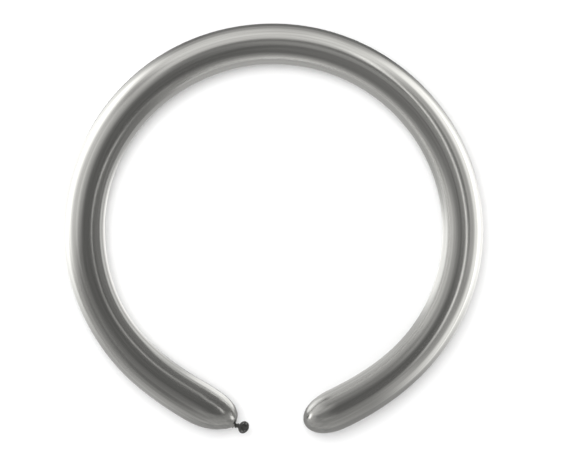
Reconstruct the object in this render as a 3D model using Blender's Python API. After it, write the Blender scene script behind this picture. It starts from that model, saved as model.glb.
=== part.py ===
"""A long, thin modelling balloon in silver latex, inflated, tied and lying curled into a ring.

Metres, +Z up. The ring lies flat on a table at Z = 0, with the origin under the middle of its outline.
Seen from above, the knot is left of the gap at the front (-Y) and the closed tip is right of it.

The whole balloon is one dipped latex skin. Its named parts are the stretched envelope, the knot tied
in its neck, the short flared neck past the knot, and the lip rolled on the neck's mouth.
"""

import math

import bmesh
import bpy
import numpy as np
from mathutils import Matrix, Vector

# Driving sizes, in metres
RING_RADIUS = 0.235
BODY_LENGTH = 1.3795
WALL = 0.0003
SEAT_GAP = 0.0003

# Where the centreline starts, at the knot, seen from the ring's centre, and the way that it sets off
START = (-0.0481, -0.2324)
START_HEADING = math.radians(154.1)

# How sharply the centreline bends
BENDS = (
    # share of the length, bend as a share of the ring's
    (0.00, 0.00),
    (0.03, 0.46),
    (0.13, 1.06),
    (0.50, 0.99),
    (0.86, 1.05),
    (1.00, 0.41),
)

# How thick the inflated body is
GIRTHS = (
    # share of the length, radius
    (0.03, 0.0262),
    (0.09, 0.0256),
    (0.15, 0.0246),
    (0.22, 0.0257),
    (0.31, 0.0251),
    (0.40, 0.0256),
    (0.50, 0.0250),
    (0.65, 0.0247),
    (0.77, 0.0249),
    (0.86, 0.0243),
    (0.97, 0.0255),
)

# The round ends: how long each is, and how full its shoulder
KNOT_DOME = 0.055
KNOT_FULLNESS = 2.2
TIP_DOME = 0.050
TIP_FULLNESS = 2.45

# The hole that the neck's strand closes, and how far to the ring's outside the neck leaves the dome
THROAT_RADIUS = 0.0005
NECK_SHIFT = 0.0040
NECK_SHIFT_RUN = 0.0028

# The knot's strand, its spacing in the knot, and how flat the knot is pulled along the neck
STRAND_RADIUS = 0.00066
STRAND_PITCH = 0.0017
KNOT_PRESS = 0.65

# An overhand knot's route round the neck's axis. It enters along the axis on one side, climbs over,
# goes once round both of its own ends, and leaves up through that turn on the other side.
KNOT_ROUTE = (
    # turn in degrees, reach from the axis in pitches, rise along the axis in pitches
    (180, 0.56, -2.00),
    (180, 0.56, -1.10),
    (180, 0.56, -0.20),
    (184, 0.60, 0.90),
    (225, 0.95, 1.55),
    (275, 1.45, 1.30),
    (325, 1.78, 0.85),
    (380, 1.84, 0.45),
    (450, 1.42, 0.12),
    (515, 1.84, -0.15),
    (570, 1.78, -0.50),
    (620, 1.42, -0.95),
    (655, 1.28, -1.30),
    (685, 1.08, -1.50),
    (705, 0.82, -1.35),
    (718, 0.62, -0.85),
    (720, 0.56, -0.10),
    (720, 0.56, 0.60),
    (720, 0.56, 1.30),
    (720, 0.56, 2.00),
)

# The neck past the knot: an arc that turns up and in, flaring to its open mouth
NECK_LENGTH = 0.0093
NECK_RISE = math.radians(48)
NECK_TURN_IN = math.radians(20)
NECK_START_RADIUS = 0.0009
NECK_MOUTH_RADIUS = 0.0049
NECK_FLARE = 1.7

# The hollow in the mouth, a round cup with a flat floor
MOUTH_WALL = 0.0009
MOUTH_DEPTH = 0.0034
MOUTH_FLOOR_SHARE = 0.44

# The rolled lip round the mouth
LIP_TUBE_RADIUS = 0.0011

# Mesh fineness
BODY_SIDES = 24
BODY_SECTIONS = 50
DOME_SECTIONS = 9
PATH_STEPS = 2000
KNOT_POINTS = 64
KNOT_ROUNDING = 2
NECK_SIDES = 20
NECK_SECTIONS = 8
NECK_BENDS = 24
MOUTH_SECTIONS = 4
LIP_SEGMENTS = 30
LIP_SIDES = 10


def material(name, colour, roughness, metallic):
    """A Principled material of one colour."""
    made = bpy.data.materials.new(name)
    made.use_nodes = True
    shader = made.node_tree.nodes["Principled BSDF"]
    shader.inputs["Base Color"].default_value = (*colour, 1.0)
    shader.inputs["Roughness"].default_value = roughness
    shader.inputs["Metallic"].default_value = metallic
    return made


def smooth_step(share):
    """0 to 1 with a level start and end."""
    share = np.clip(share, 0.0, 1.0)
    return share * share * (3.0 - 2.0 * share)


def eased(table, shares):
    """The second column of a table at each share, easing from row to row."""
    stations, values = np.array(table).T
    row = np.searchsorted(stations, shares, side="right") - 1
    row = np.clip(row, 0, len(stations) - 2)
    step = (shares - stations[row]) / (stations[row + 1] - stations[row])
    return values[row] + (values[row + 1] - values[row]) * smooth_step(step)


def running_total(values):
    """The total up to each value, by the trapezium rule."""
    return np.concatenate([[0.0], np.cumsum((values[1:] + values[:-1]) / 2)])


def centreline():
    """Distance along, x, y and heading, found by turning a little at each step."""
    along = np.linspace(0.0, BODY_LENGTH, PATH_STEPS + 1)
    step = BODY_LENGTH / PATH_STEPS
    bend = eased(BENDS, along / BODY_LENGTH) / RING_RADIUS
    heading = START_HEADING - running_total(bend) * step
    x = START[0] + running_total(np.cos(heading)) * step
    y = START[1] + running_total(np.sin(heading)) * step
    return along, x, y, heading


def dome(distance, length, fullness):
    """A round end's radius as a share of the body's, at each distance from its pole."""
    left = 1.0 - np.clip(distance / length, 0.0, 1.0)
    return np.sqrt(1.0 - left**fullness)


def stations():
    """Where the envelope's cross-sections are, closer together on the round ends."""
    quarter = np.linspace(0.0, math.pi / 2, DOME_SECTIONS + 1)
    knot_end = KNOT_DOME * (1.0 - np.cos(quarter))
    tip_end = BODY_LENGTH - TIP_DOME * (1.0 - np.cos(quarter[::-1]))
    body = np.linspace(KNOT_DOME, BODY_LENGTH - TIP_DOME, BODY_SECTIONS + 1)
    return np.concatenate([knot_end, body[1:-1], tip_end])


def mesh_object(name, points, faces, look):
    """An object from points and faces, shaded smooth."""
    mesh = bpy.data.meshes.new(name)
    mesh.from_pydata([tuple(point) for point in points], [], faces)
    mesh.materials.append(look)
    mesh.shade_smooth()
    made = bpy.data.objects.new(name, mesh)
    bpy.context.scene.collection.objects.link(made)
    return made


def ring_faces(rings, sides):
    """Quads that join each ring of points to the next."""
    faces = []
    for ring in range(rings - 1):
        for side in range(sides):
            after = (side + 1) % sides
            low = ring * sides
            high = low + sides
            faces.append((low + side, high + side, high + after, low + after))
    return faces


def face_outwards(made):
    """Turns every face of a closed or open skin the right way."""
    work = bmesh.new()
    work.from_mesh(made.data)
    bmesh.ops.recalc_face_normals(work, faces=work.faces)
    work.to_mesh(made.data)
    work.free()


def build_envelope(look):
    """The inflated skin: round sections along the centreline, each flat where it lies on the table."""
    along, x, y, heading = centreline()
    at = stations()
    body = eased(GIRTHS, np.clip(at / BODY_LENGTH, GIRTHS[0][0], GIRTHS[-1][0]))
    knot_end = dome(at, KNOT_DOME, KNOT_FULLNESS)
    tip_end = dome(BODY_LENGTH - at, TIP_DOME, TIP_FULLNESS)
    radius = body * knot_end * tip_end
    near_knot = at < KNOT_DOME
    radius[near_knot] = np.hypot(radius[near_knot], THROAT_RADIUS)
    turned = np.interp(at, along, heading)
    outwards = np.stack([-np.sin(turned), np.cos(turned)], axis=1)
    shift = NECK_SHIFT * (1.0 - smooth_step(at / NECK_SHIFT_RUN))
    middle = np.stack([np.interp(at, along, x), np.interp(at, along, y)], axis=1)
    middle = middle + outwards * shift[:, None]
    height = body * math.cos(math.pi / BODY_SIDES)
    side = (np.arange(BODY_SIDES) + 0.5) * 2 * math.pi / BODY_SIDES
    points = np.empty((len(at), BODY_SIDES, 3))
    reach = radius[:, None] * np.cos(side)
    points[..., :2] = middle[:, None] + reach[..., None] * outwards[:, None]
    points[..., 2] = height[:, None] + radius[:, None] * np.sin(side)
    pole = (*middle[-1], height[-1])
    rings = len(at) - 1
    faces = ring_faces(rings, BODY_SIDES)
    last = (rings - 1) * BODY_SIDES
    tip = rings * BODY_SIDES
    faces += [(last + i, tip, last + (i + 1) % BODY_SIDES) for i in range(BODY_SIDES)]
    made = mesh_object("envelope", [*points[:-1].reshape(-1, 3), pole], faces, look)
    face_outwards(made)
    wall = made.modifiers.new("wall", "SOLIDIFY")
    wall.thickness = WALL
    wall.offset = -1.0
    wall.use_even_offset = True
    return Vector((*middle[0], height[0])), float(turned[0])


def b_spline(points, count):
    """Points on the uniform cubic B-spline of a list of control points, from its first to its last."""
    first = 2 * points[0] - points[1]
    last = 2 * points[-1] - points[-2]
    held = np.concatenate([[first], points, [last]])
    place = np.linspace(0.0, len(points) - 1.0, count)
    row = np.clip(place.astype(int), 0, len(points) - 2)
    t = (place - row)[:, None]
    weights = (
        (1 - t) ** 3,
        3 * t**3 - 6 * t**2 + 4,
        -3 * t**3 + 3 * t**2 + 3 * t + 1,
        t**3,
    )
    return sum(weight * held[row + i] for i, weight in enumerate(weights)) / 6.0


def knot_points():
    """The strand's middle line in the knot's own frame, with the neck's axis along Z."""
    turn, reach, rise = np.array(KNOT_ROUTE, float).T
    turn = np.radians(turn)
    route = np.stack([reach * np.cos(turn), reach * np.sin(turn), rise], axis=1)
    return b_spline(route * STRAND_PITCH, KNOT_POINTS)


def neck_frame(heading):
    """A turn whose Z is the way that the neck leaves the dome, X the ring's inside and Y up."""
    outwards = Vector((-math.cos(heading), -math.sin(heading), 0.0))
    up = Vector((0.0, 0.0, 1.0))
    inside = up.cross(outwards)
    return Matrix((inside, up, outwards)).transposed().to_4x4()


def build_knot(throat, frame, look):
    """The overhand knot pulled tight against the dome, as one strand of the neck's gathered latex."""
    points = knot_points()
    curve = bpy.data.curves.new("knot", "CURVE")
    curve.dimensions = "3D"
    curve.bevel_depth = STRAND_RADIUS
    curve.bevel_resolution = KNOT_ROUNDING
    curve.use_fill_caps = True
    strand = curve.splines.new("POLY")
    strand.points.add(len(points) - 1)
    for place, point in zip(strand.points, points):
        place.co = (*point, 1.0)
    curve.materials.append(look)
    made = bpy.data.objects.new("knot", curve)
    bpy.context.scene.collection.objects.link(made)
    press = Matrix.Diagonal((1.0, 1.0, KNOT_PRESS, 1.0))
    start = press @ Vector(points[0])
    to_start = Matrix.Translation(Vector((0.0, 0.0, SEAT_GAP)) - start)
    seat = Matrix.Translation(throat) @ frame @ to_start
    made.matrix_world = seat @ press
    return seat @ press @ Vector(points[-1])


def neck_sections():
    """Share of the length and radius of each ring: up the neck's outside, then down into its mouth."""
    outside = np.linspace(0.0, 1.0, NECK_SECTIONS)
    flare = NECK_START_RADIUS + (NECK_MOUTH_RADIUS - NECK_START_RADIUS) * outside**NECK_FLARE
    fall = np.linspace(0.0, 1.0, MOUTH_SECTIONS)
    inside = 1.0 - fall * MOUTH_DEPTH / NECK_LENGTH
    rounding = np.sqrt(1.0 - (1.0 - MOUTH_FLOOR_SHARE**2) * fall**2)
    hollow = (NECK_MOUTH_RADIUS - MOUTH_WALL) * rounding
    return np.concatenate([outside, inside]), np.concatenate([flare, hollow])


def build_neck(start, frame, look):
    """The flared end of the neck, an open cup on an arc. Returns the place and turn of its mouth."""
    shares, radii = neck_sections()
    sides = [2 * math.pi * side / NECK_SIDES for side in range(NECK_SIDES)]
    points = []
    for share, radius in zip(shares, radii):
        place = neck_place(start, frame, share)
        points += [place @ Vector((radius * math.cos(a), radius * math.sin(a), 0.0)) for a in sides]
    rings = len(shares)
    faces = ring_faces(rings, NECK_SIDES)
    faces.append(tuple(range(NECK_SIDES)))
    faces.append(tuple(range((rings - 1) * NECK_SIDES, rings * NECK_SIDES)))
    made = mesh_object("neck", points, faces, look)
    face_outwards(made)
    return neck_place(start, frame, 1.0)


def neck_place(start, frame, share):
    """The place and turn of the neck's axis at a share of its length, on an even arc."""
    seat = Matrix.Translation(start) @ frame
    rise = NECK_RISE * share / NECK_BENDS
    turn_in = NECK_TURN_IN * share / NECK_BENDS
    bend = Matrix.Rotation(-rise, 4, "X") @ Matrix.Rotation(turn_in, 4, "Y")
    move = Matrix.Translation((0.0, 0.0, NECK_LENGTH * share / NECK_BENDS))
    for _ in range(NECK_BENDS):
        seat = seat @ bend @ move
    return seat


def build_lip(mouth, look):
    """The rolled bead round the neck's mouth."""
    bpy.ops.mesh.primitive_torus_add(
        major_segments=LIP_SEGMENTS,
        minor_segments=LIP_SIDES,
        major_radius=NECK_MOUTH_RADIUS + SEAT_GAP + LIP_TUBE_RADIUS,
        minor_radius=LIP_TUBE_RADIUS,
    )
    made = bpy.context.object
    made.name = "rolled_lip"
    made.data.name = "rolled_lip"
    made.data.materials.append(look)
    made.data.shade_smooth()
    made.matrix_world = mouth


def outline_middle(parts):
    """The middle of the parts' outline on the table."""
    bpy.context.view_layer.update()
    graph = bpy.context.evaluated_depsgraph_get()
    corners = []
    for part in parts:
        shown = part.evaluated_get(graph)
        mesh = shown.to_mesh()
        corners += [shown.matrix_world @ point.co for point in mesh.vertices]
        shown.to_mesh_clear()
    corners = np.array(corners)
    return (corners.min(axis=0) + corners.max(axis=0)) / 2


def main():
    for left_over in list(bpy.data.objects):
        bpy.data.objects.remove(left_over)
    mirror_latex = material("mirror_latex", (0.60, 0.60, 0.58), 0.22, 1.0)
    dark_latex = material("dark_latex", (0.06, 0.06, 0.058), 0.42, 0.6)
    throat, heading = build_envelope(mirror_latex)
    frame = neck_frame(heading)
    strand_end = build_knot(throat, frame, dark_latex)
    outwards = frame.to_3x3() @ Vector((0.0, 0.0, SEAT_GAP))
    mouth = build_neck(strand_end + outwards, frame, dark_latex)
    build_lip(mouth, dark_latex)
    parts = list(bpy.context.scene.objects)
    middle = outline_middle(parts)
    ring_centre = bpy.data.objects.new("ring_centre", None)
    bpy.context.scene.collection.objects.link(ring_centre)
    ring_centre.location = (-middle[0], -middle[1], 0.0)
    for part in parts:
        part.parent = ring_centre


main()
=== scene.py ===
"""The looks of a long silver modelling balloon that lies tied and curled into a ring.

Every size is in metres. The balloon lies on a table at Z = 0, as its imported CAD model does, and each
piece below is a surface worked out from a few sizes and put where the model has its own.
"""
import math

import bpy
import numpy as np
from mathutils import Matrix, Vector


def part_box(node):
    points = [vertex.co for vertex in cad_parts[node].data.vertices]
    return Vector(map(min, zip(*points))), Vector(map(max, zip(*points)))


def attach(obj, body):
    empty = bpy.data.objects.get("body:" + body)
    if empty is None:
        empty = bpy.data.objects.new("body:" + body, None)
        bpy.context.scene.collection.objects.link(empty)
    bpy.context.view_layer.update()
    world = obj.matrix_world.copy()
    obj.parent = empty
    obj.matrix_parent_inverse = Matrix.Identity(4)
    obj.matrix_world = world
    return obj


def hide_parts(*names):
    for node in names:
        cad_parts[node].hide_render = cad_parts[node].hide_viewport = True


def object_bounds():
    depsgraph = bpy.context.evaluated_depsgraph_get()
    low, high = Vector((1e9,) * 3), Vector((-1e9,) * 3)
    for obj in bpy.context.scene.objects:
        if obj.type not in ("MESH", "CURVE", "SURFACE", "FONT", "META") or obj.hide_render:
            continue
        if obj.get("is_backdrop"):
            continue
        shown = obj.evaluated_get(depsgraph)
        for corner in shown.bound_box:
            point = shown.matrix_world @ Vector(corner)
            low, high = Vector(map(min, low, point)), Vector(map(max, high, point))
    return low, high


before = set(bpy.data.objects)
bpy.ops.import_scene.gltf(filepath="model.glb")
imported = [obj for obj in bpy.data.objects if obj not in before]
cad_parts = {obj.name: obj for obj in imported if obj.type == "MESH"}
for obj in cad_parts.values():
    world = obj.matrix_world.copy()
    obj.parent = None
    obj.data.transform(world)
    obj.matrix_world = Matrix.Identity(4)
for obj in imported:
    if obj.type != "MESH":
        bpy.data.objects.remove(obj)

CAD_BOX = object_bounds()

bl_info = {
    "name": "Silver Modelling Balloon",
    "version": (1, 0, 0),
    "blender": (4, 5, 0),
    "location": "3D View > Sidebar > Balloon",
    "description": "Makes a tied silver modelling balloon curled into a ring on a table",
    "category": "Add Mesh",
}

# How sharply the centreline bends: share of the length, bend as a share of the ring's
BENDS = ((0.00, 0.00), (0.03, 0.46), (0.13, 1.06), (0.50, 0.99), (0.86, 1.05), (1.00, 0.41))

# How thick the body is: share of the length, radius
GIRTHS = (
    (0.03, 0.0262),
    (0.09, 0.0256),
    (0.15, 0.0246),
    (0.22, 0.0257),
    (0.31, 0.0251),
    (0.40, 0.0256),
    (0.50, 0.0250),
    (0.65, 0.0247),
    (0.77, 0.0249),
    (0.86, 0.0243),
    (0.97, 0.0255),
)

# The knot's route: turn in degrees, reach from the neck's axis and rise along it, both in pitches
KNOT_ROUTE = (
    (180, 0.56, -2.00),
    (180, 0.56, -1.10),
    (180, 0.56, -0.20),
    (184, 0.60, 0.90),
    (225, 0.95, 1.55),
    (275, 1.45, 1.30),
    (325, 1.78, 0.85),
    (380, 1.84, 0.45),
    (450, 1.42, 0.12),
    (515, 1.84, -0.15),
    (570, 1.78, -0.50),
    (620, 1.42, -0.95),
    (655, 1.28, -1.30),
    (685, 1.08, -1.50),
    (705, 0.82, -1.35),
    (718, 0.62, -0.85),
    (720, 0.56, -0.10),
    (720, 0.56, 0.60),
    (720, 0.56, 1.30),
    (720, 0.56, 2.00),
)

# Where the centreline starts, seen from the ring's centre, and the way that it sets off
START = (-0.0481, -0.2324)
START_HEADING = math.radians(154.1)

# The axis lies this share of the body's radius above the table, so that the underside is a little flat
REST_SHARE = math.cos(math.pi / 24)

TURN = 2.0 * math.pi

# Distances from the throat along the middle line: where the neck's shift and the dimple are over, how
# far the bulge goes all round and over what length it then fades, and how far the fuller inner side
# goes and over what length it fades
SHIFT_END = 0.0028
DIMPLE_END = 0.0008
BULGE_END, BULGE_FADE = 0.012, 0.030
FULLER_END, FULLER_FADE = 0.026, 0.014

# How much fuller the inner side is, as a share of the bulge
FULLER_SHARE = 0.2

# Radius of the skin from which the gathers stand at their full height
GATHER_RADIUS = 0.002

# Share of the body's thickness from which the latex counts as fully stretched
STRETCHED_SHARE = 0.24

# How softly the underside is pressed level
PRESS_SOFTNESS = 0.00008

# How far inside the body the knot's strand starts, and how long the strand is laid straight
KNOT_SEAT = 0.0010
STRAND_LENGTH = 0.030

# How far apart the neck and the bead on its mouth are kept
LIP_GAP = 0.0003

# Range that nearly all of a noise texture's values lie in
NOISE_RANGE = (0.30, 0.70)

# Where the photograph's middle lies, seen from the ring's centre
PHOTO_MIDDLE = (0.0092, 0.0037)

# How far from the ring's centre the tube's mirror that faces the low lamps lies, and how high
LINE_REACH = 0.235
MIRROR_HEIGHT = 0.043


def metres(label, description, default, low=0.0):
    """A setting that is a length."""
    return bpy.props.FloatProperty(
        name=label, description=description, default=default, min=low, unit="LENGTH")


class BalloonShape(bpy.types.PropertyGroup):
    """Sizes of the inflated body."""

    ring_radius: metres("Ring radius", "Radius that the body's middle line is curled to", 0.235, 0.1)
    body_length: metres("Body length", "Length of the inflated body along its middle line", 1.3795, 0.2)
    knot_dome: metres("Knot end", "Length of the round end at the knot", 0.055, 0.01)
    knot_fullness: bpy.props.FloatProperty(
        name="Knot end fullness", description="How square the shoulder of the knot's end is",
        default=2.2, min=1.0)
    tip_dome: metres("Tip end", "Length of the round end at the closed tip", 0.050, 0.01)
    tip_fullness: bpy.props.FloatProperty(
        name="Tip fullness", description="How square the shoulder of the tip is",
        default=2.45, min=1.0)
    throat_radius: metres("Throat", "Radius of the skin where the knot closes it", 0.0007)
    pucker_count: bpy.props.IntProperty(
        name="Puckers", description="Gathers in the skin round the throat", default=13, min=0)
    pucker_depth: metres("Pucker depth", "Height of the gathers beside the knot", 0.00022)
    pucker_reach: metres(
        "Pucker reach", "How far along the middle line the gathers fade out", 0.0042, 0.0001)
    knot_bulge: metres(
        "Knot end bulge", "How far the body swells past the throat on its inner side", 0.0030)
    throat_dimple: metres("Throat dimple", "How far the knot sits back into the body's end", 0.0010)


class NeckShape(bpy.types.PropertyGroup):
    """Sizes of the knot, the neck past it and its rolled lip."""

    pitch: metres("Strand pitch", "Spacing of the strand in the knot", 0.0015, 0.0005)
    strand_radius: metres("Strand radius", "Radius of the gathered neck that is tied", 0.00105, 0.0001)
    knot_draw: bpy.props.FloatProperty(
        name="Knot draw", description="Length of the knot along the neck, as a share of an even one",
        default=1.25, min=0.2, max=2.0)
    shift: metres("Neck shift", "How far to the ring's outside the neck leaves the body", 0.0046, -0.02)
    neck_length: metres("Neck length", "Length of the neck from the knot to its mouth", 0.0058, 0.001)
    neck_rise: bpy.props.FloatProperty(
        name="Neck rise", description="How far the neck turns upwards",
        default=math.radians(54), subtype="ANGLE")
    neck_lean: bpy.props.FloatProperty(
        name="Neck lean", description="How far to the ring's inside the neck leaves the knot",
        default=math.radians(22), subtype="ANGLE")
    neck_turn_in: bpy.props.FloatProperty(
        name="Neck turn", description="How far the neck turns to the ring's inside along its length",
        default=math.radians(-12), subtype="ANGLE")
    neck_start: metres(
        "Neck at the knot", "Radius of the neck where it leaves the knot", 0.0016, 0.0001)
    mouth_radius: metres("Mouth radius", "Radius of the neck at its mouth", 0.0052, 0.001)
    flare: bpy.props.FloatProperty(
        name="Flare", description="How late the neck widens to its mouth", default=1.35, min=0.5)
    fold_depth: bpy.props.FloatProperty(
        name="Fold depth", description="Depth of the neck's folds as a share of its radius",
        default=0.16, min=0.0, max=0.5)
    wall: metres("Neck wall", "Thickness of the unstretched neck", 0.00035, 0.00005)
    bead_radius: metres(
        "Bead radius", "Thickness of the lip's rolled bead, from its middle", 0.0012, 0.0001)


class LatexLooks(bpy.types.PropertyGroup):
    """Colours of the latex."""

    silver: bpy.props.FloatVectorProperty(
        name="Silver", description="Colour of the stretched latex", subtype="COLOR", size=3,
        min=0.0, max=1.0, default=(0.60, 0.60, 0.585))
    graphite: bpy.props.FloatVectorProperty(
        name="Graphite", description="Colour of the latex that isn't stretched", subtype="COLOR",
        size=3, min=0.0, max=1.0, default=(0.125, 0.125, 0.122))
    gloss: bpy.props.FloatProperty(
        name="Mirror roughness", description="Roughness of the stretched latex",
        default=0.20, min=0.0, max=1.0)
    neck_gloss: bpy.props.FloatProperty(
        name="Neck roughness", description="Roughness of the latex that isn't stretched",
        default=0.40, min=0.0, max=1.0)


class StudioSettings(bpy.types.PropertyGroup):
    """The table, the light and the camera."""

    table: bpy.props.FloatVectorProperty(
        name="Table", description="Colour of the table top", subtype="COLOR", size=3,
        min=0.0, max=1.0, default=(0.93, 0.93, 0.93))
    brightness: bpy.props.FloatProperty(
        name="Brightness", description="Strength of all the lights together", default=1.0, min=0.0)
    camera_height: metres("Camera height", "Height of the camera above the table", 1.8, 0.2)


# Shapes


def smooth_step(share):
    """3 s squared minus 2 s cubed: 0 to 1 with a level start and end."""
    share = np.clip(share, 0.0, 1.0)
    return share * share * (3.0 - 2.0 * share)


def eased(table, shares):
    """The second column of a table at each share, by a smooth step from each row to the next."""
    stations, values = np.array(table).T
    row = np.clip(np.searchsorted(stations, shares, side="right") - 1, 0, len(stations) - 2)
    step = (shares - stations[row]) / (stations[row + 1] - stations[row])
    return values[row] + (values[row + 1] - values[row]) * smooth_step(step)


def running_total(values):
    """The total up to each value: half of each pair of neighbours added up."""
    return np.concatenate([[0.0], np.cumsum((values[1:] + values[:-1]) / 2)])


def centreline(shape, at):
    """x, y and heading at each distance: the heading turns by the bend at each small step, and the
    place moves one step along the heading."""
    steps = 4000
    along = np.linspace(0.0, shape.body_length, steps + 1)
    step = shape.body_length / steps
    bend = eased(BENDS, along / shape.body_length) / shape.ring_radius
    heading = START_HEADING - running_total(bend) * step
    x = START[0] + running_total(np.cos(heading)) * step
    y = START[1] + running_total(np.sin(heading)) * step
    return np.interp(at, along, x), np.interp(at, along, y), np.interp(at, along, heading)


def dome(distance, length, fullness):
    """A round end's radius as a share of the body's: the square root of 1 minus the share of the
    way still to go to the shoulder, raised to the fullness."""
    left = 1.0 - np.clip(distance / length, 0.0, 1.0)
    return np.sqrt(1.0 - left**fullness)


def grid_faces(rows, cols, round_rows=False, round_cols=False):
    """Corners of the square faces of a grid, whose rows or columns may close on themselves."""
    row = np.arange(rows if round_rows else rows - 1)[:, None]
    col = np.arange(cols if round_cols else cols - 1)[None]
    below, after = (row + 1) % rows * cols, (col + 1) % cols
    row = row * cols
    return np.stack([row + col, below + col, below + after, row + after], -1).reshape(-1, 4).tolist()


def marked_mesh(name, places, faces, marks):
    """A smooth mesh. marks holds a number or a vector for each of its points, by name."""
    mesh = bpy.data.meshes.new(name)
    mesh.from_pydata(places.tolist(), [], faces)
    mesh.shade_smooth()
    for mark, values in marks.items():
        values = values.reshape(len(places), -1)
        kind, field = ("FLOAT", "value") if values.shape[1] == 1 else ("FLOAT_VECTOR", "vector")
        layer = mesh.attributes.new(mark, kind, "POINT")
        layer.data.foreach_set(field, values.astype(np.float32).reshape(-1))
    return mesh


def with_middles(values):
    """A grid's values in one list, followed by the mean of its first row and of its last."""
    rows, cols = values.shape[:2]
    means = values[[0, -1]].mean(axis=1).reshape(2, -1)
    return np.concatenate([values.reshape(rows * cols, -1), means])


def tube_mesh(name, points, marks):
    """A mesh from a grid whose rows are rings, with each end closed on its ring's middle."""
    rows, cols = points.shape[:2]
    ring = np.arange(cols)
    after = (ring + 1) % cols
    last = (rows - 1) * cols
    start = np.stack([ring, after, np.full(cols, rows * cols)], -1)
    end = np.stack([last + after, last + ring, np.full(cols, rows * cols + 1)], -1)
    faces = grid_faces(rows, cols, round_cols=True) + start.tolist() + end.tolist()
    marks = {mark: with_middles(values) for mark, values in marks.items()}
    return marked_mesh(name, with_middles(points), faces, marks)


def add_piece(name, mesh, look):
    """An object of the mesh in the scene, at the origin, with its material."""
    old = bpy.data.objects.get(name)
    if old is not None:
        bpy.data.objects.remove(old)
    mesh.materials.append(look)
    piece = bpy.data.objects.new(name, mesh)
    bpy.context.scene.collection.objects.link(piece)
    return piece


def ring_shift(shape):
    """How far the ring's centre lies from the origin: the middle of the model's own outline less
    the middle of the outline drawn about the ring's centre."""
    at = np.linspace(0.0, shape.body_length, 1501)
    x, y, heading = centreline(shape, at)
    radius = body_radius(shape, at)
    out = np.stack([-np.sin(heading), np.cos(heading)], 1)
    side = np.linspace(0.0, TURN, 181)
    reach = radius[:, None, None] * np.cos(side)[None, :, None]
    edge = (np.stack([x, y], 1)[:, None] + reach * out[:, None]).reshape(-1, 2)
    low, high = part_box("envelope")
    middle = (np.array(low[:2]) + np.array(high[:2])) / 2
    return middle - (edge.min(axis=0) + edge.max(axis=0)) / 2


def body_girth(shape, at):
    """The tube's radius at each distance, before its ends close."""
    return eased(GIRTHS, np.clip(at / shape.body_length, GIRTHS[0][0], GIRTHS[-1][0]))


def body_radius(shape, at):
    """The tube's radius at each distance: the girth times a dome at each end."""
    return (
        body_girth(shape, at)
        * dome(at, shape.knot_dome, shape.knot_fullness)
        * dome(shape.body_length - at, shape.tip_dome, shape.tip_fullness)
    )


def laid_straight(along, radius, side):
    """Where each point lies on the piece laid straight: its distance along, and its turn at its
    radius."""
    along = np.broadcast_to(along[:, None], radius.shape)
    return np.stack([along, radius * np.cos(side), radius * np.sin(side)], -1)


def envelope_surface(shape, neck):
    """Points of the inflated skin on a grid of distance along by turn around.

    A point is the centreline's place, plus the radius times the cosine of the turn towards the
    ring's outside, plus the radius times its sine upwards. The radius has gathers near the throat:
    a cosine of the turn whose height falls off with the distance from the throat. At the knot's
    end the skin is moved past the throat by a bulge, all round beside the throat and on the inner
    side further along, where it is also a little fuller. The underside is pressed level where it
    would pass below the table. Also returns the place of each point on the balloon laid straight,
    and how far the latex is stretched there, from 0 to 1.
    """
    quarter = np.linspace(0.0, math.pi / 2, 64)
    at = np.concatenate([
        shape.knot_dome * (1.0 - np.cos(quarter)),
        np.linspace(shape.knot_dome, shape.body_length - shape.tip_dome, 520)[1:-1],
        shape.body_length - shape.tip_dome * (1.0 - np.cos(quarter[::-1][:-1])),
    ])
    sides = 104
    side = (np.arange(sides) + 0.5) * TURN / sides
    x, y, heading = centreline(shape, at)
    out = np.stack([-np.sin(heading), np.cos(heading)], 1)
    back = -np.stack([np.cos(heading), np.sin(heading)], 1)
    girth = body_girth(shape, at)
    radius = np.hypot(body_radius(shape, at), shape.throat_radius * (at < shape.knot_dome))
    push = neck.shift * (1.0 - smooth_step(at / SHIFT_END))
    middle = np.stack([x, y], 1) + out * push[:, None] + ring_shift(shape)
    fade = np.exp(-((at / shape.pucker_reach) ** 2)) * smooth_step(radius / GATHER_RADIUS)
    uneven = 1.0 + 0.45 * np.sin(3 * side + 0.7) + 0.3 * np.sin(5 * side + 2.1)
    gathers = np.cos(shape.pucker_count * side + 0.8 * np.sin(2 * side)) * uneven
    swell = radius[:, None] + shape.pucker_depth * fade[:, None] * gathers[None]
    points = np.empty((len(at), sides, 3))
    inner = 0.5 - 0.5 * np.cos(side)[None]
    near = at[:, None]
    swollen = inner + (1.0 - inner) * (1.0 - smooth_step(near / BULGE_END))
    bulge = shape.knot_bulge * swollen * (1.0 - smooth_step((near - BULGE_END) / BULGE_FADE))
    bulge = bulge - shape.throat_dimple * (1.0 - smooth_step(near / DIMPLE_END))
    swell = swell + FULLER_SHARE * shape.knot_bulge * inner * smooth_step(near / BULGE_END) * (
        1.0 - smooth_step((near - FULLER_END) / FULLER_FADE))
    points[..., :2] = (
        middle[:, None]
        + (swell * np.cos(side))[..., None] * out[:, None]
        + bulge[..., None] * back[:, None]
    )
    height = girth[:, None] * REST_SHARE + swell * np.sin(side)
    points[..., 2] = PRESS_SOFTNESS * np.logaddexp(0.0, height / PRESS_SOFTNESS)
    stretch = np.broadcast_to(smooth_step(radius / (STRETCHED_SHARE * girth))[:, None], swell.shape)
    return points, laid_straight(at, swell, side), stretch


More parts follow.
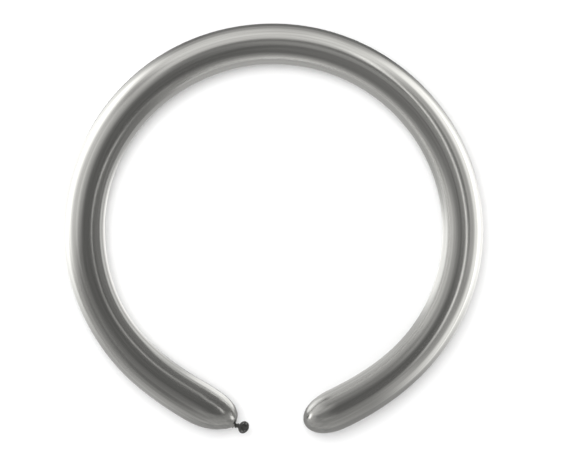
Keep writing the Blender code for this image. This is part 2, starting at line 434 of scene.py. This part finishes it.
def b_spline(points, count):
    """Points on the uniform cubic B-spline of a list of points, from its first to its last: each is
    a sum of four neighbours, weighted by the four cubic blends of the place between them."""
    held = np.concatenate([[2 * points[0] - points[1]], points, [2 * points[-1] - points[-2]]])
    place = np.linspace(0.0, len(points) - 1.0, count)
    row = np.clip(place.astype(int), 0, len(points) - 2)
    t = (place - row)[:, None]
    weights = ((1 - t) ** 3, 3 * t**3 - 6 * t**2 + 4, -3 * t**3 + 3 * t**2 + 3 * t + 1, t**3)
    return sum(weight * held[row + i] for i, weight in enumerate(weights)) / 6.0


def throat_frame(shape, neck):
    """The throat's place, and a turn whose Z is the way that the neck leaves the body, X the ring's
    inside and Y up."""
    x, y, heading = (value[0] for value in centreline(shape, np.zeros(1)))
    girth = GIRTHS[0][1]
    shift = ring_shift(shape)
    place = Vector((
        x - math.sin(heading) * neck.shift + shift[0],
        y + math.cos(heading) * neck.shift + shift[1],
        girth * REST_SHARE,
    ))
    outwards = Vector((-math.cos(heading), -math.sin(heading), 0.0))
    place += outwards * (shape.knot_bulge - shape.throat_dimple)
    up = Vector((0.0, 0.0, 1.0))
    return Matrix.Translation(place) @ Matrix((up.cross(outwards), up, outwards)).transposed().to_4x4()


def placed(points, matrix):
    """Grid points moved by a matrix."""
    matrix = np.array(matrix)
    return points @ matrix[:3, :3].T + matrix[:3, 3]


def knot_surface(shape, neck):
    """Points of the tied strand on a grid of steps along by turn around.

    The strand follows the knot's route, a B-spline. At each step its section is a circle whose
    radius is swelled by folds that run along the strand and slowly turn about it. The section's
    two directions are carried along without twist. The whole is then drawn out along the neck.
    Also returns where the strand ends, for the neck.
    """
    turn, reach, rise = np.array(KNOT_ROUTE, float).T
    turn = np.radians(turn)
    route = np.stack([reach * np.cos(turn), reach * np.sin(turn), rise], 1) * neck.pitch
    steps, sides = 260, 28
    path = b_spline(route, steps)
    ahead = np.gradient(path, axis=0)
    ahead /= np.linalg.norm(ahead, axis=1)[:, None]
    across = np.empty_like(path)
    across[0] = (1.0, 0.0, 0.0)
    for step in range(1, steps):
        across[step] = across[step - 1] - ahead[step] * (across[step - 1] @ ahead[step])
        across[step] /= np.linalg.norm(across[step])
    over = np.cross(ahead, across)
    share = np.linspace(0.0, 1.0, steps)
    side = np.arange(sides) * TURN / sides
    twist = share[:, None] * 5.0 + side[None]
    folds = 1.0 + 0.10 * np.cos(5 * twist) + 0.05 * np.cos(8 * side[None] - 9.0 * share[:, None] + 1.0)
    swell = 1.0 + 0.06 * np.sin(share * 21.0)
    radius = neck.strand_radius * folds * swell[:, None]
    points = path[:, None] + (
        (radius * np.cos(side))[..., None] * across[:, None]
        + (radius * np.sin(side))[..., None] * over[:, None]
    )
    points[..., 2] *= neck.knot_draw
    start = Vector((*path[0, :2], path[0, 2] * neck.knot_draw))
    end = Vector((*path[-1, :2], path[-1, 2] * neck.knot_draw))
    seat = throat_frame(shape, neck) @ Matrix.Translation(Vector((0.0, 0.0, -KNOT_SEAT)) - start)
    straight = laid_straight(share * STRAND_LENGTH, radius, side)
    return placed(points, seat), straight, seat @ Matrix.Translation(end)


def neck_places(neck, seat, shares):
    """Places and directions along the neck's axis: an even arc that turns up and in by a small step
    at a time."""
    steps = 96
    bend = (
        Matrix.Rotation(-neck.neck_rise / steps, 4, "X")
        @ Matrix.Rotation(neck.neck_turn_in / steps, 4, "Y")
        @ Matrix.Translation((0.0, 0.0, neck.neck_length / steps))
    )
    frames = [np.array(seat)]
    for _ in range(steps):
        seat = seat @ bend
        frames.append(np.array(seat))
    frames = np.array(frames)
    known = np.linspace(0.0, 1.0, steps + 1)
    flat = frames.reshape(len(frames), -1)
    found = np.stack([np.interp(shares, known, column) for column in flat.T], -1)
    return found.reshape(-1, 4, 4)


def neck_surface(neck, seat):
    """Points of the neck past the knot on a grid of steps by turn around: up its outside to the
    mouth and back down its inside.

    The radius grows from the knot to the mouth as a power of the share of the length. It has
    folds, cosines of the turn that fade towards the mouth, and the inside is a wall's thickness
    in, closing where the folds meet.
    """
    sides = 96
    side = np.arange(sides) * TURN / sides
    outside = np.linspace(0.0, 1.0, 60)
    inside = np.linspace(1.0, 0.30, 40)
    share = np.concatenate([outside, inside])
    inner = np.arange(len(share)) >= len(outside)
    flare = neck.neck_start + (neck.mouth_radius - neck.neck_start) * share**neck.flare
    fade = neck.fold_depth * (1.0 - 0.80 * smooth_step(share))
    lean = 0.9 * np.sin(3.0 * share)[:, None]
    folds = (
        np.cos(6 * side[None] + lean + 0.7 * np.sin(2 * side[None]))
        + 0.5 * np.cos(9 * side[None] - 1.4 * lean + 1.3)
        + 0.45 * np.cos(2 * side[None] + 0.6)
    )
    radius = flare[:, None] * (1.0 + fade[:, None] * folds)
    closing = smooth_step((share - 0.28) / 0.35)
    radius = np.where(inner[:, None], (radius - neck.wall) * closing[:, None], radius)
    radius = np.maximum(radius, 0.00002)
    frames = neck_places(neck, seat, share)
    ring = np.stack([radius * np.cos(side), radius * np.sin(side), np.zeros_like(radius)], -1)
    points = np.einsum("rij,rsj->rsi", frames[:, :3, :3], ring) + frames[:, None, :3, 3]
    mouth = Matrix(frames[len(outside) - 1].tolist())
    return points, laid_straight(share * neck.neck_length, radius, side), mouth


def lip_surface(neck, mouth):
    """Points of the rolled bead on a grid of turn around the mouth by turn around the bead.

    A point is on a circle round the mouth, plus the bead's radius times the cosine of the bead's
    turn outwards and times its sine along the neck. The bead's radius, the circle's radius and its
    height waver by slow sines, and a shallow groove winds along it where the latex was rolled.
    """
    rings, sides = 168, 40
    around = np.arange(rings) * TURN / rings
    side = np.arange(sides) * TURN / sides
    circle = neck.mouth_radius + LIP_GAP + neck.bead_radius * 0.92
    circle = circle * (1.0 + 0.012 * np.sin(2 * around + 0.5) + 0.008 * np.sin(5 * around))
    lift = 0.00016 * np.sin(2 * around + 1.9) + 0.00008 * np.sin(3 * around)
    bead = neck.bead_radius * (1.0 + 0.05 * np.sin(3 * around + 0.4) + 0.03 * np.sin(7 * around + 2.0))
    winding = side[None] - 2.3 - 0.25 * np.sin(around[:, None])
    groove = np.exp(-((np.angle(np.exp(1j * winding)) / 0.16) ** 2))
    rolls = 1.0 - 0.10 * groove + 0.012 * np.cos(17 * around[:, None] + 2 * side[None])
    radius = bead[:, None] * rolls
    reach = circle[:, None] + radius * np.cos(side)
    height = lift[:, None] + radius * np.sin(side)
    points = np.stack([reach * np.cos(around)[:, None], reach * np.sin(around)[:, None], height], -1)
    return placed(points, mouth), laid_straight(around * neck.mouth_radius, radius, side)


def ring_mesh(name, points, marks):
    """A mesh from a grid whose rows and columns both close on themselves."""
    faces = grid_faces(*points.shape[:2], round_rows=True, round_cols=True)
    return marked_mesh(name, points.reshape(-1, 3), faces, marks)


# Materials


def link(tree, pairs):
    """Joins each output to its input."""
    for source, target in pairs:
        tree.links.new(source, target)


def streak_group():
    """Fine streaks that run along the balloon, as the metal flakes are drawn out with the latex.

    Noise on the straight balloon's places, squeezed along its length: wide streaks for the tone
    and narrow ones for the surface.
    """
    name = "drawn_out_flakes"
    old = bpy.data.node_groups.get(name)
    if old is not None:
        return old
    group = bpy.data.node_groups.new(name, "ShaderNodeTree")
    face = group.interface
    face.new_socket("Place", in_out="INPUT", socket_type="NodeSocketVector")
    sizes = (
        ("Streak width", 0.0030), ("Streak length", 0.20),
        ("Grain width", 0.0006), ("Grain length", 0.03))
    for socket, value in sizes:
        made = face.new_socket(socket, in_out="INPUT", socket_type="NodeSocketFloat")
        made.default_value = value
    for socket in ("Streak", "Grain"):
        face.new_socket(socket, in_out="OUTPUT", socket_type="NodeSocketFloat")
    nodes = group.nodes
    came = nodes.new("NodeGroupInput")
    goes = nodes.new("NodeGroupOutput")
    for kind, detail in (("Streak", 3.0), ("Grain", 2.0)):
        scale = nodes.new("ShaderNodeCombineXYZ")
        squeeze = nodes.new("ShaderNodeVectorMath")
        squeeze.operation = "DIVIDE"
        noise = nodes.new("ShaderNodeTexNoise")
        noise.inputs["Scale"].default_value = 1.0
        noise.inputs["Detail"].default_value = detail
        noise.inputs["Roughness"].default_value = 0.55
        link(group, (
            (came.outputs[f"{kind} length"], scale.inputs["X"]),
            (came.outputs[f"{kind} width"], scale.inputs["Y"]),
            (came.outputs[f"{kind} width"], scale.inputs["Z"]),
            (came.outputs["Place"], squeeze.inputs[0]),
            (scale.outputs["Vector"], squeeze.inputs[1]),
            (squeeze.outputs["Vector"], noise.inputs["Vector"]),
            (noise.outputs["Fac"], goes.inputs[kind]),
        ))
    return group


def attribute(tree, name):
    """A node that reads what a mesh keeps for its points."""
    node = tree.nodes.new("ShaderNodeAttribute")
    node.attribute_name = name
    return node


def latex_material(name):
    """A material with a Principled shader, the straight place and the streaks. Returns the material,
    its tree, its shader, and the streaks' node."""
    old = bpy.data.materials.get(name)
    if old is not None:
        bpy.data.materials.remove(old)
    made = bpy.data.materials.new(name)
    made.use_nodes = True
    tree = made.node_tree
    shader = tree.nodes["Principled BSDF"]
    place = attribute(tree, "straight")
    flakes = tree.nodes.new("ShaderNodeGroup")
    flakes.node_tree = streak_group()
    tree.links.new(place.outputs["Vector"], flakes.inputs["Place"])
    return made, tree, shader, flakes


def ranged(tree, value, low, high, from_low=0.0, from_high=1.0):
    """A node that carries a value from one range into another."""
    node = tree.nodes.new("ShaderNodeMapRange")
    node.inputs["From Min"].default_value = from_low
    node.inputs["From Max"].default_value = from_high
    node.inputs["To Min"].default_value = low
    node.inputs["To Max"].default_value = high
    tree.links.new(value, node.inputs["Value"])
    return node.outputs["Result"]


def mixed(tree, share, first, second, blend="MIX"):
    """A colour mix of two colours or sockets by a share, which may be a number or a socket."""
    node = tree.nodes.new("ShaderNodeMix")
    node.data_type = "RGBA"
    node.blend_type = blend
    colours = [socket for socket in node.inputs if socket.type == "RGBA"]
    if isinstance(share, float):
        node.inputs["Factor"].default_value = share
    else:
        tree.links.new(share, node.inputs["Factor"])
    for socket, colour in zip(colours, (first, second)):
        if isinstance(colour, tuple):
            socket.default_value = (*colour, 1.0)
        else:
            tree.links.new(colour, socket)
    return [socket for socket in node.outputs if socket.type == "RGBA"][0]


def bumped(tree, shader, height, distance):
    """A bump on the shader's normal from a height."""
    bump = tree.nodes.new("ShaderNodeBump")
    bump.inputs["Distance"].default_value = distance
    bump.inputs["Strength"].default_value = 1.0
    link(tree, ((height, bump.inputs["Height"]), (bump.outputs["Normal"], shader.inputs["Normal"])))


def mirror_latex(looks):
    """Stretched silver latex: a soft mirror, with tone, roughness and a slight bump in streaks along
    the balloon, and darker and duller where the skin is less stretched beside the knot."""
    made, tree, shader, flakes = latex_material("mirror_latex")
    stretch = attribute(tree, "stretch")
    tone = ranged(tree, flakes.outputs["Streak"], 0.90, 1.07, *NOISE_RANGE)
    silver = mixed(tree, stretch.outputs["Fac"], tuple(looks.graphite), tuple(looks.silver))
    shade = tree.nodes.new("ShaderNodeCombineColor")
    for channel in ("Red", "Green", "Blue"):
        tree.links.new(tone, shade.inputs[channel])
    colour = mixed(tree, 1.0, silver, shade.outputs["Color"], "MULTIPLY")
    dull = ranged(tree, stretch.outputs["Fac"], looks.neck_gloss, looks.gloss)
    fine = ranged(tree, flakes.outputs["Grain"], -0.03, 0.03, *NOISE_RANGE)
    rough = tree.nodes.new("ShaderNodeMath")
    rough.operation = "ADD"
    link(tree, (
        (dull, rough.inputs[0]),
        (fine, rough.inputs[1]),
        (rough.outputs["Value"], shader.inputs["Roughness"]),
        (colour, shader.inputs["Base Color"]),
    ))
    shader.inputs["Metallic"].default_value = 1.0
    bumped(tree, shader, flakes.outputs["Grain"], 0.000004)
    return made


def dark_latex(looks):
    """Latex that isn't stretched: dark graphite with a satin sheen, finely streaked along the neck."""
    made, tree, shader, flakes = latex_material("dark_latex")
    flakes.inputs["Streak width"].default_value = 0.0012
    flakes.inputs["Streak length"].default_value = 0.006
    flakes.inputs["Grain width"].default_value = 0.00022
    flakes.inputs["Grain length"].default_value = 0.0016
    dark = tuple(0.72 * value for value in looks.graphite)
    light = tuple(1.45 * value for value in looks.graphite)
    share = ranged(tree, flakes.outputs["Streak"], 0.0, 1.0, *NOISE_RANGE)
    colour = mixed(tree, share, dark, light)
    low, high = looks.neck_gloss - 0.07, looks.neck_gloss + 0.10
    rough = ranged(tree, flakes.outputs["Grain"], low, high, *NOISE_RANGE)
    link(tree, ((colour, shader.inputs["Base Color"]), (rough, shader.inputs["Roughness"])))
    shader.inputs["Metallic"].default_value = 0.75
    bumped(tree, shader, flakes.outputs["Grain"], 0.00003)
    return made


def table_material(colour):
    """Matt white table top with a trace of mottling. The balloon's mirror sees its glow in place of
    its lit face, as it would see a table that is lit unevenly further out."""
    made = bpy.data.materials.new("table_top")
    made.use_nodes = True
    tree = made.node_tree
    shader = tree.nodes["Principled BSDF"]
    place = tree.nodes.new("ShaderNodeTexCoord")
    noise = tree.nodes.new("ShaderNodeTexNoise")
    noise.inputs["Scale"].default_value = 14.0
    noise.inputs["Detail"].default_value = 4.0
    tree.links.new(place.outputs["Object"], noise.inputs["Vector"])
    share = ranged(tree, noise.outputs["Fac"], 0.0, 1.0, *NOISE_RANGE)
    tone = mixed(tree, share, tuple(0.992 * value for value in colour), tuple(colour))
    tree.links.new(tone, shader.inputs["Base Color"])
    shader.inputs["Roughness"].default_value = 0.9
    shader.inputs["Specular IOR Level"].default_value = 0.0
    glow = attribute(tree, "glow")
    light = tree.nodes.new("ShaderNodeEmission")
    light.inputs["Color"].default_value = (1.0, 0.995, 0.98, 1.0)
    path = tree.nodes.new("ShaderNodeLightPath")
    either = tree.nodes.new("ShaderNodeMixShader")
    link(tree, (
        (glow.outputs["Fac"], light.inputs["Strength"]),
        (path.outputs["Is Glossy Ray"], either.inputs["Fac"]),
        (shader.outputs["BSDF"], either.inputs[1]),
        (light.outputs["Emission"], either.inputs[2]),
        (either.outputs["Shader"], tree.nodes["Material Output"].inputs["Surface"]),
    ))
    return made


def glow_material(name, kind, seen_from=None):
    """A light sheet, as bright as its mesh's own glow.

    A clear sheet adds its light to what lies behind it. A solid one hides that, and a one way one
    hides it from its front only. A sheet may be seen from a range of distances alone.
    """
    made = bpy.data.materials.new(name)
    made.use_nodes = True
    tree = made.node_tree
    tree.nodes.remove(tree.nodes["Principled BSDF"])
    glow = attribute(tree, "glow")
    strength = glow.outputs["Fac"]
    if seen_from:
        path = tree.nodes.new("ShaderNodeLightPath")
        for ends, edge in (((0.0, 1.0), seen_from[0]), ((1.0, 0.0), seen_from[1])):
            share = ranged(tree, path.outputs["Ray Length"], *ends, 0.94 * edge, 1.06 * edge + 0.0001)
            both = tree.nodes.new("ShaderNodeMath")
            both.operation = "MULTIPLY"
            link(tree, ((strength, both.inputs[0]), (share, both.inputs[1])))
            strength = both.outputs["Value"]
    light = tree.nodes.new("ShaderNodeEmission")
    light.inputs["Color"].default_value = (1.0, 0.99, 0.97, 1.0)
    tree.links.new(strength, light.inputs["Strength"])
    shown = light.outputs["Emission"]
    if kind != "solid":
        clear = tree.nodes.new("ShaderNodeBsdfTransparent")
        both = tree.nodes.new("ShaderNodeMixShader" if kind == "one way" else "ShaderNodeAddShader")
        first, second = [socket for socket in both.inputs if socket.type == "SHADER"]
        link(tree, ((shown, first), (clear.outputs["BSDF"], second)))
        if kind == "one way":
            sides = tree.nodes.new("ShaderNodeNewGeometry")
            tree.links.new(sides.outputs["Backfacing"], both.inputs["Fac"])
        shown = both.outputs["Shader"]
    tree.links.new(shown, tree.nodes["Material Output"].inputs["Surface"])
    return made


# Operators


class MakeEnvelope(bpy.types.Operator):
    """Makes the inflated skin"""

    bl_idname = "balloon.make_envelope"
    bl_label = "Make Envelope"

    def execute(self, context):
        scene = context.scene
        points, straight, stretch = envelope_surface(scene.balloon_shape, scene.balloon_neck)
        mesh = tube_mesh("inflated_skin", points, {"straight": straight, "stretch": stretch})
        piece = add_piece("inflated_skin", mesh, mirror_latex(scene.balloon_looks))
        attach(piece, "root")
        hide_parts("envelope")
        return {"FINISHED"}


class MakeNeck(bpy.types.Operator):
    """Makes the knot, the neck past it and its rolled lip"""

    bl_idname = "balloon.make_neck"
    bl_label = "Make Knot, Neck and Lip"

    def execute(self, context):
        scene = context.scene
        shape, neck = scene.balloon_shape, scene.balloon_neck
        look = dark_latex(scene.balloon_looks)
        points, straight, end = knot_surface(shape, neck)
        knot = add_piece("tied_knot", tube_mesh("tied_knot", points, {"straight": straight}), look)
        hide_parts("knot")
        seat = end @ Matrix.Rotation(neck.neck_lean, 4, "Y")
        points, straight, mouth = neck_surface(neck, seat)
        past = add_piece("flared_neck", tube_mesh("flared_neck", points, {"straight": straight}), look)
        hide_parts("neck")
        points, straight = lip_surface(neck, mouth)
        lip = add_piece("lip_bead", ring_mesh("lip_bead", points, {"straight": straight}), look)
        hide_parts("rolled_lip")
        for piece in (knot, past, lip):
            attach(piece, "root")
        return {"FINISHED"}


class MakeStudio(bpy.types.Operator):
    """Makes the table, the lights and the camera"""

    bl_idname = "balloon.make_studio"
    bl_label = "Make Studio"

    def execute(self, context):
        scene = context.scene
        studio = scene.balloon_studio
        make_table(studio, scene.balloon_shape)
        make_lights(studio)
        make_camera(scene, studio)
        return {"FINISHED"}


def sheet_mesh(name, points, glow):
    """A mesh from an open grid of points, with each point's glow."""
    rows, cols = points.shape[:2]
    glow = np.broadcast_to(glow, (rows, cols))
    return marked_mesh(name, points.reshape(-1, 3), grid_faces(rows, cols), {"glow": glow})


def light_sheet(name, x, y, z, glow, kind="clear", seen_from=None):
    """A light that only shows in the balloon's mirror: the camera and the table don't see it."""
    points = np.stack(np.broadcast_arrays(x, y, z), -1)
    sheet = add_piece(name, sheet_mesh(name, points, glow), glow_material(name, kind, seen_from))
    sheet.visible_camera = False
    sheet.visible_diffuse = False
    sheet.visible_shadow = False
    sheet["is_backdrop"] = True


def round_sheet(name, way, reach, z, glow, kind="clear", seen_from=None):
    """A light sheet whose points are given by compass way and reach from the middle."""
    light_sheet(name, reach * np.cos(way), reach * np.sin(way), z, glow, kind, seen_from)


def window(value, low, high, fade):
    """1 between low and high, falling smoothly to 0 over the fade outside them."""
    return smooth_step((value - low) / fade + 1.0) * smooth_step((high - value) / fade + 1.0)


def towards(way, centre, half, fade):
    """1 within the half width of a compass way in degrees, falling smoothly to 0 over the fade."""
    away = np.abs((np.degrees(way) - centre + 180.0) % 360.0 - 180.0)
    return smooth_step((half - away) / fade + 1.0)


# Lamps of the low screen round the table: the way that each lies in degrees, its half width, its
# fade, the lowest and highest angle it is seen at from the balloon beside it, their fade, its glow
SCREEN_LAMPS = (
    (4, 34, 30, 2, 14, 22, 0.80),
    (20, 26, 24, -60, 48, 16, 0.36),
    (62, 8, 18, 10, 34, 14, 0.25),
    (91, 27, 20, 36, 56, 30, 0.62),
    (90, 44, 26, -15, 9, 16, 0.25),
    (158, 18, 24, 2, 10, 22, 0.90),
    (160, 16, 22, -60, 54, 16, 0.20),
    (-38, 8, 16, 5, 52, 18, 0.25),
    (-80, 24, 20, 36, 62, 20, 0.14),
)

# The table's glow outside and inside the ring: the way that each patch lies in degrees, its half
# width, its fade, its glow
OUTSIDE_PATCHES = (
    (165, 12, 40, 1.28), (4, 12, 44, 1.22), (-145, 18, 25, 0.35), (-50, 4, 22, 0.16),
    (-90, 14, 16, 0.14))
INSIDE_PATCHES = ((-10, 8, 26, 0.36), (-11, 8, 14, 0.45))


def make_screen():
    """The low screen: a cone that leans in over the ring, whose glow is the sum of its lamps, each a
    soft window of the way and of the height. Only the tube beside it shows it."""
    radius, top, lean = 0.33, 0.18, 0.3
    way = np.linspace(-math.pi, math.pi, 181)
    height = np.linspace(0.0, top, 46)[:, None]
    reach = radius - lean * height
    angle = np.degrees(np.arctan2(height - MIRROR_HEIGHT, reach - LINE_REACH))
    glow = 0.0
    for centre, half, fade, low, high, edge, strength in SCREEN_LAMPS:
        glow = glow + strength * towards(way, centre, half, fade) * window(angle, low, high, edge)
    glow = glow * smooth_step((top - height) / 0.02)
    round_sheet("low_screen", way, reach, height, glow, seen_from=(0.0, 0.28))


def make_room():
    """The room: a dome whose glow rises from the dim zenith towards the horizon, least on the right and
    at the front, with a faint patch high on the left."""
    radius = 4.0
    way = np.linspace(-math.pi, math.pi, 145)
    down = np.linspace(0.0, math.radians(95), 61)[:, None]
    fallen = np.degrees(down)
    away = smooth_step((np.abs(np.degrees(way) - 12.0) - 48.0) / 40.0)
    front = towards(way, -90, 40, 40)
    rise = 0.06 + 0.36 * away + 0.06 * front - 0.12 * towards(way, -110, 35, 25)
    glow = 0.145 + smooth_step((fallen - 22.0 - 12.0 * front) / 60.0) * rise
    glow = glow + 0.10 * window(fallen, 23.0, 33.0, 14.0) * towards(way, 200, 60, 30)
    round_sheet("room", way, radius * np.sin(down), radius * np.cos(down), glow, kind="solid")


def make_left_wall():
    """A tall soft wall on the left, fading at its top and its ends."""
    y = np.linspace(-0.7, 1.0, 61)
    z = np.linspace(0.0, 1.2, 45)[:, None]
    glow = 0.26 * window(y, -0.02, 0.36, 0.30) * window(z, 0.0, 0.70, 0.5)
    light_sheet("left_wall", -0.7, y, z, glow)


def make_left_panel():
    """A soft panel high over the left and far sides, shown by the tube below it."""
    way = np.linspace(math.radians(40), math.radians(215), 91)
    reach = np.linspace(0.05, 1.1, 45)[:, None]
    strength = 0.28 * towards(way, 155, 18, 20) + 0.08 * towards(way, 100, 26, 20)
    glow = strength * window(reach, 0.48, 0.66, 0.40)
    round_sheet("left_panel", way, reach, 0.8, glow, seen_from=(0.0, 1.0))


def make_overhead():
    """A dim soft arc low over the right and far part of the ring, shown by the tube below it."""
    way = np.linspace(math.radians(-60), math.radians(150), 91)
    reach = np.linspace(0.08, 0.36, 29)[:, None]
    glow = 0.23 * towards(way, 48, 26, 60) * window(reach, 0.185, 0.25, 0.08)
    round_sheet("overhead", way, reach, 0.45, glow, seen_from=(0.0, 0.5))


def make_strip():
    """A long soft strip light high on the right: it climbs from front to back until it is level, and
    bends inwards at the front as the square of the distance. The tube's left shows it wider and
    fainter than the right."""
    y = np.linspace(-0.35, 0.85, 61)
    across = np.linspace(-0.16, 0.16, 65)[:, None]
    x = 0.37 - 0.12 * y - 2.0 * np.minimum(y, 0.0) ** 2
    height = np.minimum(0.54 + 0.7 * y, 0.65)
    length = window(y, -0.12, 0.60, 0.20)
    near = 1.30 * window(across, -0.018, 0.018, 0.036) + 0.20 * window(across, 0.05, 0.11, 0.04)
    light_sheet("strip_near", x + across, y, height, near * length, seen_from=(0.0, 0.74))
    far = 0.36 * window(across, -0.06, 0.06, 0.08)
    light_sheet("strip_far", x + across, y, height + 0.002, far * length, seen_from=(0.74, 4.0))


def make_fence():
    """A low dim light sheet inside the ring at its left, a painted dark reflection seen from the left
    and not from the right.
    """
    way = np.linspace(math.radians(217), math.radians(126), 61)
    radius = 0.12 - 0.05 * smooth_step((np.degrees(way) - 158.0) / 12.0)
    height = np.linspace(0.0, 0.10, 9)[:, None]
    glow = 0.24 + 0.15 * smooth_step((142.0 - np.degrees(way)) / 14.0)
    round_sheet("low_fence", way, radius, height, glow, kind="one way")


def make_hoop():
    """A faint low hoop of light inside the ring, which softens the tube's picture of its far side."""
    way = np.linspace(math.radians(-100), math.radians(135), 91)
    height = np.linspace(0.018, 0.062, 23)[:, None]
    glow = 0.30 * towards(way, 18, 92, 16) * window(height, 0.036, 0.042, 0.016)
    round_sheet("low_hoop", way, 0.12, height, glow, seen_from=(0.0, 0.20))


def make_front_panel():
    """A soft panel low at the front, shown by the far side of the ring."""
    x = np.linspace(-0.9, 0.9, 61)
    z = np.linspace(0.0, 0.9, 37)[:, None]
    glow = 0.12 * window(x, -0.2, 0.2, 0.5) * window(z, 0.0, 0.3, 0.4)
    light_sheet("front_panel", x, -1.3, z, glow, seen_from=(1.35, 3.0))


def make_end_lamps():
    """Two small lamps far at the front, each shown only by the round end that faces it."""
    z = np.linspace(0.02, 0.20, 19)[:, None]
    for name, x, middle, power in (("tip_lamp", -0.33, -0.22, 1.9), ("knot_lamp", 0.33, -0.36, 1.3)):
        y = np.linspace(middle - 0.11, middle + 0.11, 23)
        glow = power * window(y - middle, -0.04, 0.04, 0.06) * window(z, 0.07, 0.12, 0.06)
        light_sheet(name, x, y, z, glow, seen_from=(0.36, 0.48))


def make_table(studio, shape):
    """A wide round table top. Its glow for the mirror is a painted reflection, a sum of soft patches,
    one sum inside the middle line of the ring and one outside. Fine rings of painted light and shade
    lie beside the tube's left, and thin rims of painted shade under its edge."""
    reach = np.concatenate([
        [0.0], np.linspace(0.02, 0.15, 14), np.linspace(0.155, 0.32, 67), np.geomspace(0.34, 12.0, 36)])
    reach = reach[:, None]
    way = np.linspace(-math.pi, math.pi, 181)
    x, y = reach * np.cos(way), reach * np.sin(way)
    line_x, line_y, _ = centreline(shape, np.linspace(0.0, shape.body_length, 361))
    shift = ring_shift(shape)
    line_x, line_y = line_x + shift[0], line_y + shift[1]
    middle = np.interp(way, np.arctan2(line_y, line_x), np.hypot(line_x, line_y), period=TURN)
    outside = 0.23
    for centre, half, fade, strength in OUTSIDE_PATCHES:
        outside = outside + strength * towards(way, centre, half, fade)
    # Painted shade: dark rims past the tube's outer edge, at the far left and the far right
    edge = smooth_step((middle + 0.052 - reach) / 0.012)
    dark = 0.70 * towards(way, 138, 8, 14) + 0.65 * towards(way, 42, 22, 16)
    outside = outside * (1.0 - edge * dark)
    # Painted light and shade: fine bright and dark rings inside, beside the tube's left
    rings = 0.30 + 0.50 * smooth_step((reach - 0.178) / 0.012)
    rings = rings - 0.30 * window(reach, 0.160, 0.168, 0.010)
    # A painted pool of light inside the ring by the knot's end, and a dark rim of painted shade at the
    # tube's inner edge there
    gap = np.hypot(x + 0.035, y + 0.17)
    beside = smooth_step((middle - 0.029 - reach) / 0.012)
    rim = smooth_step((reach - middle + 0.037) / 0.008) * towards(way, -108, 20, 20)
    inside = (
        0.56 - 0.38 * rim
        + rings * towards(way, 192, 18, 30)
        + 0.20 * towards(way, -90, 40, 20) * smooth_step((reach - 0.10) / 0.04)
        + 0.62 * smooth_step((0.075 - gap) / 0.04) * beside
    )
    for centre, half, fade, strength in INSIDE_PATCHES:
        inside = inside + strength * towards(way, centre, half, fade)
    share = smooth_step((reach - middle) / 0.01 + 0.5)
    points = np.stack(np.broadcast_arrays(x, y, 0.0), -1)
    mesh = sheet_mesh("table_top", points, inside + share * (outside - inside))
    table = add_piece("table_top", mesh, table_material(studio.table))
    table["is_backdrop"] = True


def make_lights(studio):
    """The table's soft light from the upper left, which the mirror doesn't show, and the light sheets
    that it does."""
    world = bpy.data.worlds.new("room")
    world.use_nodes = True
    bpy.context.scene.world = world
    back = world.node_tree.nodes["Background"]
    back.inputs["Color"].default_value = (1.0, 1.0, 1.0, 1.0)
    back.inputs["Strength"].default_value = 0.80 * studio.brightness
    place = Vector((-0.25, 0.34, 1.7))
    data = bpy.data.lights.new("table_light", "AREA")
    data.size = 1.05
    data.energy = 19 * studio.brightness
    lamp = bpy.data.objects.new("table_light", data)
    lamp.location = place
    lamp.rotation_euler = (-place).to_track_quat("-Z", "Y").to_euler()
    lamp.visible_camera = False
    lamp.visible_glossy = False
    bpy.context.scene.collection.objects.link(lamp)
    make_room()
    make_left_wall()
    make_left_panel()
    make_screen()
    make_overhead()
    make_strip()
    make_fence()
    make_hoop()
    make_front_panel()
    make_end_lamps()


def make_camera(scene, studio):
    """A camera that looks straight down, at the photograph's distance and place."""
    shift = ring_shift(scene.balloon_shape)
    data = bpy.data.cameras.new("camera")
    data.lens = 92.0
    data.sensor_width = 36.0
    camera = bpy.data.objects.new("camera", data)
    camera.location = (*(shift + PHOTO_MIDDLE), studio.camera_height)
    scene.collection.objects.link(camera)
    scene.camera = camera
    scene.view_settings.view_transform = "Standard"


class BALLOON_PT_panel(bpy.types.Panel):
    """Lists the balloon's pieces and sizes"""

    bl_label = "Modelling Balloon"
    bl_space_type = "VIEW_3D"
    bl_region_type = "UI"
    bl_category = "Balloon"

    def draw(self, context):
        for operator in OPERATORS:
            self.layout.operator(operator.bl_idname)
        for group in (name for name, _ in SETTINGS):
            box = self.layout.box()
            settings = getattr(context.scene, group)
            for name in settings.bl_rna.properties.keys():
                if name not in ("rna_type", "name"):
                    box.prop(settings, name)


OPERATORS = (MakeEnvelope, MakeNeck, MakeStudio)
SETTINGS = (
    ("balloon_shape", BalloonShape),
    ("balloon_neck", NeckShape),
    ("balloon_looks", LatexLooks),
    ("balloon_studio", StudioSettings),
)


def register():
    for name, group in SETTINGS:
        bpy.utils.register_class(group)
        setattr(bpy.types.Scene, name, bpy.props.PointerProperty(type=group))
    for kind in (*OPERATORS, BALLOON_PT_panel):
        bpy.utils.register_class(kind)


def unregister():
    for kind in (BALLOON_PT_panel, *reversed(OPERATORS)):
        bpy.utils.unregister_class(kind)
    for name, group in reversed(SETTINGS):
        delattr(bpy.types.Scene, name)
        bpy.utils.unregister_class(group)


def main():
    register()
    bpy.ops.balloon.make_envelope()
    bpy.ops.balloon.make_neck()
    bpy.ops.balloon.make_studio()
    boxes = {"cad": CAD_BOX, "visual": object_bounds()}
    boxes = {name: [[float(value) for value in corner] for corner in box] for name, box in boxes.items()}


if __name__ == "__main__":
    main()
